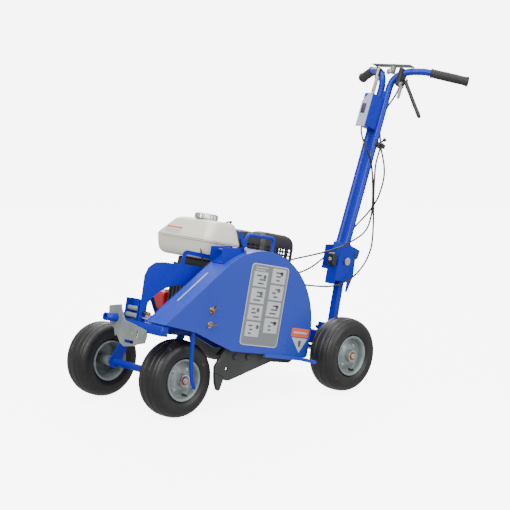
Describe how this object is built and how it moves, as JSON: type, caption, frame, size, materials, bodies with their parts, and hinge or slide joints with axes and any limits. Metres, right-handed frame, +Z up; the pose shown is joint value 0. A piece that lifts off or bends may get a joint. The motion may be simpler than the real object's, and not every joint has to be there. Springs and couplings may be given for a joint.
{
  "type": "walk-behind trencher",
  "caption": "Petrol walk-behind trencher on four wheels: enclosed side rotor with trailing shoe, belt drive, folding T-handle with clutch lever and throttle.",
  "frame": {"origin": "on the floor under the centre of the bounding box", "axes": "+Z up, -Y the way the machine faces, +X the side of the rotor housing"},
  "size_m": [0.8466, 1.3423, 1.1299],
  "materials": {
    "blue_paint": "satin powder coat",
    "tyre_rubber": "matt moulded rubber",
    "grey_rim": "semi-gloss grey paint",
    "galvanised": "dull zinc",
    "bright_steel": "machined",
    "dark_steel": "dark mill finish",
    "engine_metal": "sand-cast",
    "tank_cream": "gloss",
    "red_cover": "semi-gloss",
    "black_plastic": "fine texture",
    "box_blue": "satin",
    "grip_rubber": "matt",
    "cable_sheath": "satin",
    "belt_rubber": "matt"
  },
  "bodies": {
    "chassis": {"deck_frame": "blue_paint", "front_crossmember": "blue_paint", "rear_crossmember": "blue_paint", "rear_axle": "bright_steel", "housing_outer_plate": "blue_paint", "housing_cover": "blue_paint", "housing_inner_plate": "blue_paint", "housing_handle": "blue_paint", "top_feed_guide": "blue_paint", "bearing_inner": "engine_metal", "bearing_outer": "engine_metal", "trench_shoe": "dark_steel", "shoe_point": "dark_steel", "engine_side_guard": "blue_paint", "front_bracket": "galvanised", "feed_bracket": "blue_paint", "crankcase": "engine_metal", "cylinder": "engine_metal", "fuel_tank": "tank_cream", "recoil_cover": "red_cover", "muffler": "dark_steel", "muffler_guard": "black_plastic", "air_cleaner": "black_plastic", "rear_post": "blue_paint", "pivot_bolt": "bright_steel", "drive_belt": "belt_rubber", "throttle_cable": "cable_sheath", "clutch_cable": "cable_sheath", "stop_cable": "cable_sheath"},
    "front_swing_arm": {"front_arm": "blue_paint", "front_axle": "bright_steel"},
    "front_left_wheel": {"front_left_tyre": "tyre_rubber", "front_left_rim": "grey_rim"},
    "front_right_wheel": {"front_right_tyre": "tyre_rubber", "front_right_rim": "grey_rim"},
    "rear_left_wheel": {"rear_left_tyre": "tyre_rubber", "rear_left_rim": "grey_rim"},
    "rear_right_wheel": {"rear_right_tyre": "tyre_rubber", "rear_right_rim": "grey_rim"},
    "rotor": {"cutter_rotor": "dark_steel", "rotor_shaft": "bright_steel", "driven_pulley": "engine_metal"},
    "engine_shaft": {"crankshaft": "bright_steel", "drive_pulley": "engine_metal"},
    "belt_tensioner": {"idler_arm": "bright_steel"},
    "tensioner_wheel": {"idler_pulley": "engine_metal"},
    "handle": {"handle_column": "blue_paint", "grip_left": "grip_rubber", "grip_right": "grip_rubber", "control_box": "box_blue", "cable_clip": "black_plastic", "lever_clamp": "black_plastic", "bar_plate": "galvanised"},
    "throttle": {"throttle_lever": "bright_steel"},
    "clutch": {"clutch_lever": "black_plastic"},
    "feed_release": {"release_lever": "blue_paint"},
    "pointer": {"guide_pointer": "blue_paint"},
    "feed_wheel": {"feed_roller": "galvanised"},
    "tank_cap": {"fuel_cap": "bright_steel"},
    "starter_grip": {"starter_handle": "black_plastic"}
  },
  "joints": [
    {"name": "front_arm_swing", "type": "hinge", "parent": "chassis", "child": "front_swing_arm", "pos_m": [-0.07731, -0.38744, 0.26121], "axis": [1, 0, 0], "range_deg": [-4, 16]},
    {"name": "front_left_spin", "type": "hinge", "parent": "front_swing_arm", "child": "front_left_wheel", "pos_m": [0.11269, -0.48815, 0.12951], "axis": [1, 0, 0], "continuous": true},
    {"name": "front_right_spin", "type": "hinge", "parent": "front_swing_arm", "child": "front_right_wheel", "pos_m": [-0.26731, -0.48815, 0.12951], "axis": [1, 0, 0], "continuous": true},
    {"name": "rear_left_spin", "type": "hinge", "parent": "chassis", "child": "rear_left_wheel", "pos_m": [0.26669, 0.15685, 0.12951], "axis": [1, 0, 0], "continuous": true},
    {"name": "rear_right_spin", "type": "hinge", "parent": "chassis", "child": "rear_right_wheel", "pos_m": [-0.36731, 0.15685, 0.12951], "axis": [1, 0, 0], "continuous": true},
    {"name": "rotor_spin", "type": "hinge", "parent": "chassis", "child": "rotor", "pos_m": [0.15769, -0.20428, 0.25734], "axis": [1, 0, 0], "continuous": true},
    {"name": "engine_shaft_spin", "type": "hinge", "parent": "chassis", "child": "engine_shaft", "pos_m": [0.04269, -0.13248, 0.3594], "axis": [1, 0, 0], "continuous": true},
    {"name": "tensioner_swing", "type": "hinge", "parent": "chassis", "child": "belt_tensioner", "pos_m": [0.05769, -0.24532, 0.28776], "axis": [1, 0, 0], "range_deg": [-8.5, 0.5], "deforming": ["drive_belt"]},
    {"name": "tensioner_wheel_spin", "type": "hinge", "parent": "belt_tensioner", "child": "tensioner_wheel", "pos_m": [0.04269, -0.22029, 0.3449], "axis": [1, 0, 0], "continuous": true},
    {"name": "handle_fold", "type": "hinge", "parent": "chassis", "child": "handle", "pos_m": [0.16269, 0.24976, 0.43938], "axis": [1, 0, 0], "range_deg": [-75, 20], "deforming": ["throttle_cable", "clutch_cable", "stop_cable"]},
    {"name": "throttle_swing", "type": "hinge", "parent": "handle", "child": "throttle", "pos_m": [0.15669, 0.43338, 1.02448], "axis": [1, 0, 0], "range_deg": [-30, 25]},
    {"name": "clutch_squeeze", "type": "hinge", "parent": "handle", "child": "clutch", "pos_m": [0.23369, 0.52417, 1.07266], "axis": [0.5787, -0.7556, 0.3068], "range_deg": [0, 55], "stiffness_Nm_per_rad": 0.6, "springref_deg": -20.05},
    {"name": "feed_release_swing", "type": "hinge", "parent": "chassis", "child": "feed_release", "pos_m": [0.18669, -0.23686, 0.53718], "axis": [1, 0, 0], "range_deg": [-20, 40]},
    {"name": "pointer_fold", "type": "hinge", "parent": "chassis", "child": "pointer", "pos_m": [0.19469, -0.47733, 0.30233], "axis": [1, 0, 0], "range_deg": [-50, 8]},
    {"name": "feed_roller_spin", "type": "hinge", "parent": "chassis", "child": "feed_wheel", "pos_m": [0.04119, -0.60144, 0.34652], "axis": [1, 0, 0], "continuous": true},
    {"name": "fuel_cap_turn", "type": "hinge", "parent": "chassis", "child": "tank_cap", "pos_m": [-0.07531, -0.16883, 0.61494], "axis": [0, 0.2334, 0.9724], "range_deg": [0, 90]},
    {"name": "starter_pull", "type": "slide", "parent": "chassis", "child": "starter_grip", "axis": [0, -0.9724, 0.2334], "range_m": [0, 0.3], "stiffness_N_per_m": 15, "springref_m": -0.05}
  ],
  "couplings": [
    {"joint": "engine_shaft_spin", "follows": "rotor_spin", "ratio": 1.4375},
    {"joint": "tensioner_swing", "follows": "clutch_squeeze", "ratio": -0.145}
  ]
}
